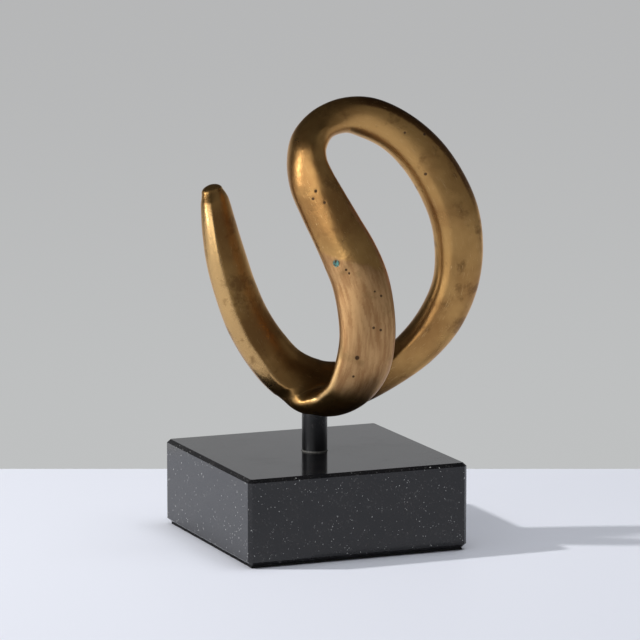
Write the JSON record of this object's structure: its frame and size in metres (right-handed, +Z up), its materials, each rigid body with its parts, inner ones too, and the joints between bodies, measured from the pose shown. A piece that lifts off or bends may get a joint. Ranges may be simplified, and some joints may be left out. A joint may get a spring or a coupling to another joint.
{
  "type": "abstract sculpture",
  "caption": "Cast bronze abstract of one band bent into a horn and an upright loop, on a steel rod in a polished black granite block.",
  "frame": {"origin": "centre of the felt pad's underside, on the surface the sculpture stands on", "axes": "+Z up, -Y square out of the plinth's front face, +X to the right of that face, towards the loop"},
  "size_m": [0.132, 0.109, 0.2089],
  "materials": {
    "felt": "matt",
    "granite": "polished",
    "rod": "blackened, satin",
    "bronze": "semi-polished, brown patina"
  },
  "bodies": {
    "root": {"felt_pad": "felt", "granite_plinth": "granite", "support_rod": "rod", "bronze_form": "bronze"}
  },
  "joints": []
}
